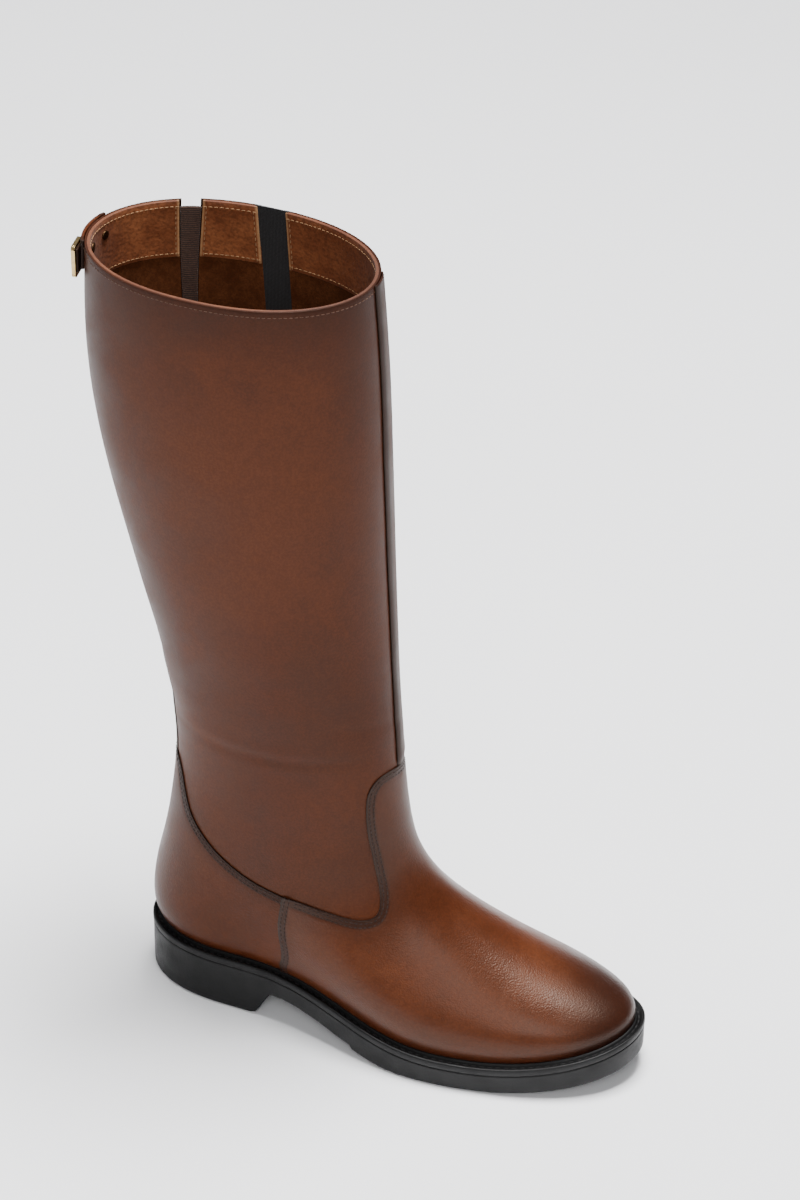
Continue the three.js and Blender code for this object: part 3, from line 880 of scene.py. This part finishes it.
def lay_copies(name, pattern, at, x, y, z):
    """One mesh with a copy of the pattern at each place, turned to its three directions."""
    shape, faces = pattern
    points = sum(shape[None, :, k, None] * axis[:, None, :] for k, axis in enumerate((x, y, z)))
    points = points + at[:, None, :]
    polygons = [tuple(k * len(shape) + i for i in face) for k in range(len(at)) for face in faces]
    mesh = bpy.data.meshes.new(name)
    mesh.from_pydata(points.reshape(-1, 3) * MM, [], polygons)
    obj = bpy.data.objects.new(name, mesh)
    bpy.context.scene.collection.objects.link(obj)
    edit_all(obj, FACE_OUT)
    shade(obj, 40)
    return obj


def one_stitch(length, thick):
    """A short loop of thread, its ends dipping into the leather."""
    ball = new_form("stitch", bpy.ops.mesh.primitive_uv_sphere_add, segments=8, ring_count=6, radius=0.5)
    shape, faces = take_shape(ball)
    dip = 0.22 * (np.abs(shape[:, 2]) * 2) ** 3
    return np.stack([shape[:, 2] * length, shape[:, 0] * thick, shape[:, 1] * thick * 0.75 - dip], -1), faces


def stitches(name, lines, heights, material, pitch, length, thick=0.5):
    """Rows of stitches along lines on the boot, each row at its own height over the form."""
    ats, runs, normals = [], [], []
    for line, out in zip(lines, heights):
        spots = even(line, pitch)
        at, _, _, normal, _, _ = skin_frame(*spots.T)
        at = at + normal * (out + drape(*spots.T))[:, None]
        run = np.gradient(at, axis=0)
        ats.append(at)
        runs.append(run / np.linalg.norm(run, axis=1)[:, None])
        normals.append(normal)
    at, run, normal = map(np.concatenate, (ats, runs, normals))
    rows = lay_copies(name, one_stitch(length, thick), at, run, np.cross(normal, run), normal)
    dress(rows, material)


def level_line(row, low, high, count=400):
    """Line round the boot at one row, between two turns."""
    return np.stack([np.linspace(low, high, count), np.full(count, float(row))], -1)


rim_row = TOP_ROW - 3.0 / ROW_RISE
clear_back = gusset_loop(2.2)
back_end = clear_back[:, 0].max()
front_end = clear_back[:, 0].min()


def level_runs(row, clear, at):
    """Stitch lines at one row that stop clear of the elastic and the zip."""
    return [level_line(row, back_end, turn_at(before_zip(clear), at)),
            level_line(row, turn_at(behind_zip(clear), at), front_end, 120)]


collar_front, collar_back = level_runs(rim_row, 8.5, 16.0)
STRIP_FROM, STRIP_TO = 0.513, 0.557  # turns that the front strip covers at the collar
collar_runs = [
    level_line(rim_row, back_end, STRIP_FROM),
    level_line(rim_row, STRIP_TO, collar_front[-1, 0]),
    collar_back,
]
stitches("collar_stitches", collar_runs, [0.12] * 3, BROWN_THREAD, 2.5, 1.9)
stitches("vamp_stitches", [inset_line(line, -mm) for line in (side_seam, vamp_top) for mm in STITCH_INSETS],
         [1.62, 1.5, 0.9, 0.9], DARK_THREAD, 2.5, 2.1, 0.6)
stitches("counter_stitches", [inset_line(counter_top, mm) for mm in STITCH_INSETS], [0.8, 0.8], DARK_THREAD,
         2.5, 2.1, 0.6)
stitches("zip_stitches", [line_of(before_zip(8.6), 6.3, 15.9, 300), line_of(behind_zip(8.6), 6.7, 15.9, 300)],
         [0.1, 0.1], BROWN_THREAD, 2.8, 2.1)
facing_sides = [before_zip(9.6), behind_zip(9.6)]
facing_sides += [lambda r, side=side: gusset_edge(side, 3)(r) - 1 for side in (1, -1)]
facing_runs = level_runs(FACING_LOW + 2.0 / ROW_RISE, 9, 15.4) + level_runs(rim_row, 9, 16.0)
facing_runs += [line_of(side, 15.4, 15.93) for side in facing_sides]
stitches("facing_stitches", facing_runs, [-2.85] * len(facing_runs), TAN_THREAD, 2.6, 2.0)


# ---- zip
SLIDER_ROW = TOP_ROW - 0.33
TOOTH_PITCH = 1.15
TAPE_HALF = 8.6
PULL_OUT = 3.7  # from the leather to the middle of the pull


def zip_tape():
    """Woven band under the teeth, from one side of the slot to the other."""
    rear = lambda row: zip_turn(row) + reach(row, zip_turn, TAPE_HALF)
    sheet = flat_sheet("zip_tape_woven", before_zip(TAPE_HALF), rear, ZIP_LOW_ROW - 0.1, TOP_ROW + 0.01, 1.4)
    lasted(sheet, -1.2, 0.7)
    dress(sheet, TAPE, replaces=("zip_tape",))


zip_tape()


def part_block(name, size, centre, bevel, segments=3, taper=None):
    """Small block in mm with softened edges; taper narrows its lower end."""
    obj = new_form(name, bpy.ops.mesh.primitive_cube_add, size=1)
    tools = [(bpy.ops.transform.resize, {"value": size})]
    if taper:
        tools.append((bpy.ops.mesh.subdivide, {"number_cuts": 2}))
    edit_all(obj, *tools)
    for v in obj.data.vertices:
        if taper:
            v.co.x *= mix(taper, 1, float(smooth(v.co.z / size[2] + 0.5)))
        v.co += Vector(centre)
    soften(obj, bevel, segments, 40)
    apply_modifiers(obj)
    return obj


def part_frame(name, outer, hole, deep, centre, bevel, hole_shift=0.0, segments=3):
    """Flat frame in mm, wide along x and tall along z, with an open middle and softened edges."""
    obj = new_form(name, bpy.ops.mesh.primitive_plane_add, size=1)
    edit_all(obj, (bpy.ops.mesh.inset, {"thickness": 0.2}), (bpy.ops.mesh.delete, {"type": "FACE"}))
    for v in obj.data.vertices:
        on_rim = max(abs(v.co.x), abs(v.co.y)) > 0.45
        wide, tall = outer if on_rim else hole
        shift = 0.0 if on_rim else hole_shift
        v.co = Vector((math.copysign(wide / 2, v.co.x), 0, math.copysign(tall / 2, v.co.y) + shift))
        v.co += Vector(centre)
    cage = bmesh.new()
    cage.from_mesh(obj.data)
    bmesh.ops.bevel(cage, geom=list(cage.verts), offset=min(outer) * 0.16, segments=5, affect="VERTICES",
                    profile=0.5)
    bmesh.ops.recalc_face_normals(cage, faces=cage.faces)
    cage.to_mesh(obj.data)
    cage.free()
    wall = obj.modifiers.new("Wall", "SOLIDIFY")
    wall.thickness = deep
    wall.offset = 0
    soften(obj, bevel, segments, 50)
    apply_modifiers(obj)
    return obj


def join(name, parts, matrix):
    """Joins small parts made in mm into one piece and sets it in its place."""
    obj = parts[0]
    make_active(obj)
    for part in parts:
        part.select_set(True)
    if len(parts) > 1:
        bpy.ops.object.join()
    obj.name = obj.data.name = name
    obj.data.transform(matrix)
    obj.data.transform(Matrix.Scale(MM, 4))
    edit_all(obj, FACE_OUT)
    shade(obj, 40)
    return obj


def stand(turn, row, z, out=0.0):
    """Level frame on the skin, mm: x round the boot, y straight out, z up."""
    at, _, _, normal, _, _ = skin_frame(turn, row)
    outward = Vector((normal[0, 0], normal[0, 1], 0)).normalized()
    around = Vector((outward.y, -outward.x, 0))
    matrix = Matrix((around, outward, Vector((0, 0, 1)))).transposed().to_4x4()
    matrix.translation = Vector((at[0, 0], at[0, 1], z)) + outward * out
    return matrix


def zip_chain():
    """Two rows of teeth that close into each other down the front of the tape."""
    tooth = take_shape(part_block("tooth", (3.1, 1.5, 1.25), (0, 0, 0), 0.32, 1))
    line = even(line_of(zip_turn, ZIP_LOW_ROW + 0.15, SLIDER_ROW - 0.1, 300), TOOTH_PITCH)
    at, side, up, normal, _, _ = skin_frame(*line.T)
    across = np.where(np.arange(len(line)) % 2, TOOTH_PITCH, -TOOTH_PITCH)[:, None]
    at = at + normal * (drape(*line.T) + 0.15)[:, None] + side * across
    rows = lay_copies("zip_teeth_rows", tooth, at, side, normal, up)
    dress(rows, BLACK_METAL, replaces=("zip_teeth",))


zip_chain()
slider_turn = zip_turn(np.array([SLIDER_ROW]))
slider_z = float(skin(slider_turn, SLIDER_ROW)[0, 2])
on_zip = stand(slider_turn, SLIDER_ROW, slider_z)
slider = join("slider_body", [
    part_block("plate", (9.6, 1.2, 12), (0, 1.8, 0), 0.5, 3, 0.62),
    part_block("wedge", (8.6, 1.9, 11), (0, 0.4, 0), 0.3, 2, 0.62),
    part_block("foot_top", (2.6, 2.8, 1.9), (0, 3.7, 3.0), 0.45),
    part_block("foot_low", (2.6, 2.8, 1.9), (0, 3.7, -3.0), 0.45),
    part_block("bridge", (2.6, 0.8, 7.6), (0, 5.0, 0), 0.35),
], on_zip)
dress(slider, BLACK_METAL, replaces=("zip_slider",))
pull = join("pull_tab", [
    part_frame("eye", (7.6, 8.2), (4.6, 5.9), 1.15, (0, PULL_OUT, -2.8), 0.3, -0.05),
    part_frame("tab", (8, 25.2), (4.2, 13), 1.5, (0, PULL_OUT, -18.4), 0.45, -2.6),
], on_zip)
dress(pull, BLACK_METAL, body="pull", replaces=("zip_pull",))

# ---- strap, buckle and rivets
STRAP_LOW, STRAP_HIGH = 418, 433.6
BUCKLE_Z = 422.8


def to_row(z):
    """Section row of a height near the rim."""
    return TOP_ROW - (RIM_Z - z) / ROW_RISE


band("strap", steady(-0.034), steady(0.056), to_row(STRAP_LOW), to_row(STRAP_HIGH), 1.9, 1.55, LEATHER,
     1.0, ("back_strap",), 0.0, darken_share=0.25)
held = stand(np.array([0.045]), to_row(BUCKLE_Z), BUCKLE_Z, 3.6) @ Matrix.Rotation(math.radians(-13), 4, "Z")
loop = part_frame("loop", (12.4, 17), (8.6, 13.2), 1.9, (0, 0, 0), 0.8, 0, 4)
dress(join("buckle_loop", [loop], held), GILT, replaces=("buckle_frame",))
bar = part_block("bar", (9.2, 1.3, 1.3), (0, 0, -0.4), 0.5)
dress(join("buckle_bar", [bar], held), GILT, replaces=("buckle_prong",))
dress(join("strap_end", [part_block("end", (11, 1.4, 12.6), (1.4, -1.25, 0), 0.45)], held), LEATHER)


def rivet(name, turn, z):
    obj = new_form(name, bpy.ops.mesh.primitive_cylinder_add, vertices=28, radius=2.4, depth=1.0)
    soften(obj, 0.45, 4, 30)
    apply_modifiers(obj)
    obj.data.transform(Matrix.Rotation(math.pi / 2, 4, "X"))
    dress(join(name, [obj], stand(np.array([turn]), to_row(z), z, -3.0)), BRONZE)


for where, turn in (("outer", 0.022), ("inner", -0.022)):
    rivet(f"rivet_{where}", turn, 424)

# ---- sole unit
SOLE_AROUND = 560
SIDE_OUT = 6.4
# Profile of the welt, from under the upper outward: mm out from the feather line, and height over it
WELT_PROFILE = [
    (-12, -0.5), (-2, -0.35), (0.6, -0.3), (1.0, 0.7), (1.6, 1.3), (2.3, 1.0), (2.7, 0.2), (3.0, -0.35),
    (3.9, -0.42), (4.5, -0.1), (5.0, 0.42), (5.7, 0.5), (6.3, 0.25), (6.55, -0.3), (WELT_OUT, -1.2),
    (WELT_OUT, -3.0), (SIDE_OUT, -3.35), (6.0, -3.55), (6.0, -3.8), (6.3, -4.05), (6.45, -4.5),
]
# Rounded lower edge: mm out from the feather line, and height over the underside
LOWER_PROFILE = [(6.35, 1.2), (6.1, 0.55), (5.65, 0.14), (5.0, 0.0)]


def level_unit(ways):
    """Directions laid level, each of length 1."""
    flat = ways * (1, 1, 0)
    return flat / np.linalg.norm(flat, axis=1)[:, None]


def grown(line, along, mm):
    """A line round the boot moved outward, seen from above."""
    return line[:, :2] + np.stack([along[:, 1], -along[:, 0]], -1) * mm


def sole_rings():
    """Rings from the middle of the top, out over the edge and down, to the middle of the underside."""
    feather = skin(np.arange(SOLE_AROUND) / SOLE_AROUND, 0.0)
    along = level_unit(np.roll(feather, -1, 0) - np.roll(feather, 1, 0))
    rim_x, rim_y = grown(feather, along, 3.2).T
    centre = (rim_x + rim_x[-np.arange(SOLE_AROUND) % SOLE_AROUND]) / 2
    rings = [(centre, rim_y, seat(rim_y) - 0.6)]
    for out, rise in WELT_PROFILE:
        x, y = grown(feather, along, out).T
        rings.append((x, y, seat(y) + rise))
    x, y = grown(feather, along, SIDE_OUT).T
    for share in np.linspace(0.05, 0.95, 9):
        rings.append((x, y, mix(seat(y) - 4.5, ground(HEEL_BACK - y) + 1.6, share)))
    for out, rise in LOWER_PROFILE:
        x, y = grown(feather, along, out).T
        rings.append((x, y, ground(HEEL_BACK - y) + rise))
    for share in np.linspace(0.12, 1, 9):
        rings.append((mix(rim_x, centre, share), rim_y, ground(HEEL_BACK - rim_y)))
    return np.array(rings).transpose(0, 2, 1)


def sole_unit():
    rings = sole_rings()
    obj, across, along = unit_grid("sole_unit", SOLE_AROUND, len(rings) - 1)
    column = np.rint(across * SOLE_AROUND).astype(int) % SOLE_AROUND
    level = np.rint(along * (len(rings) - 1)).astype(int)
    place(obj, rings[level, column])
    edit_all(obj, merge(0.02), FACE_OUT)
    shade(obj, 55)
    dress(obj, RUBBER, replaces=("welt", "outsole"))


def welt_stitches():
    """Thread laid in the channel between the bead and the outer edge of the welt."""
    feather, side, _, _, _, _ = skin_frame(*level_line(0, 0, 1, 1600).T)
    path = grown(feather, level_unit(side), 3.45)
    path = np.column_stack([path, seat(path[:, 1]) - 0.36])
    run = run_of(path)
    spots = np.arange(0, run[-1] - 2, 4.2)
    at = np.stack([np.interp(spots, run, path[:, k]) for k in range(3)], -1)
    along = np.gradient(at, axis=0)
    along /= np.linalg.norm(along, axis=1)[:, None]
    up = np.tile([0.0, 0.0, 1.0], (len(at), 1))
    rows = lay_copies("welt_stitches", one_stitch(3.2, 0.8), at, along, np.cross(up, along), up)
    dress(rows, BLACK_THREAD)


sole_unit()
welt_stitches()
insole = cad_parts["insole"]
insole.data.materials.clear()
insole.data.materials.append(SUEDE)

# ---- floor, camera and light
def plain(name, colour, roughness):
    f = Finish(name, colour, roughness, Specular_IOR_Level=0.1)
    return f.finish(f.blend(f.span(f.clouds(3, 2), 0.3, 0.7), colour, tuple(c * 0.985 for c in colour)))


deselect()
bpy.ops.mesh.primitive_plane_add(size=40, location=(0, 0, -0.0004))
floor = bpy.context.object
floor.name = "floor"
floor.data.materials.append(plain("pale floor", (0.9, 0.9, 0.915), 0.95))

camera_data = bpy.data.cameras.new("camera")
camera = bpy.data.objects.new("camera", camera_data)
bpy.context.scene.collection.objects.link(camera)
camera_data.lens = 120
camera_data.clip_end = 100
AZIMUTH, ELEVATION, ROLL = math.radians(-67.15), math.radians(34.46), math.radians(0.427)
AIM, AWAY = Vector((-20.23, -113.66, 274.5)) * MM, 1.926438
flat_share = math.cos(ELEVATION)
back = Vector((math.sin(AZIMUTH) * flat_share, -math.cos(AZIMUTH) * flat_share, math.sin(ELEVATION)))
right = Vector((0, 0, 1)).cross(back).normalized()
above = back.cross(right)
rolled_right = right * math.cos(ROLL) + above * math.sin(ROLL)
rolled_above = above * math.cos(ROLL) - right * math.sin(ROLL)
facing_boot = Matrix((rolled_right, rolled_above, back)).transposed().to_4x4()
camera.matrix_world = Matrix.Translation(AIM + back * AWAY) @ facing_boot
bpy.context.scene.camera = camera


def soft_light(name, place_at, aim, size, power, colour=(1, 1, 1)):
    data = bpy.data.lights.new(name, "AREA")
    data.shape = "RECTANGLE"
    data.size, data.size_y = size
    data.energy = power
    data.color = colour
    obj = bpy.data.objects.new(name, data)
    bpy.context.scene.collection.objects.link(obj)
    obj.location = place_at
    obj.rotation_euler = (Vector(aim) - Vector(place_at)).to_track_quat("-Z", "Y").to_euler()


soft_light("top", (0.2, -0.2, 2.5), (0, -0.08, 0.1), (0.9, 0.9), 178)
soft_light("key", (-2.1, -0.9, 1.9), (0, -0.05, 0.2), (1.3, 1.3), 34)
soft_light("back", (1.5, 1.9, 1.6), (0, 0, 0.25), (1.0, 1.6), 9)
world = bpy.data.worlds.new("studio")
bpy.context.scene.world = world
world.use_nodes = True
background = world.node_tree.nodes["Background"].inputs
background["Color"].default_value = (0.93, 0.94, 0.96, 1)
background["Strength"].default_value = 0.3
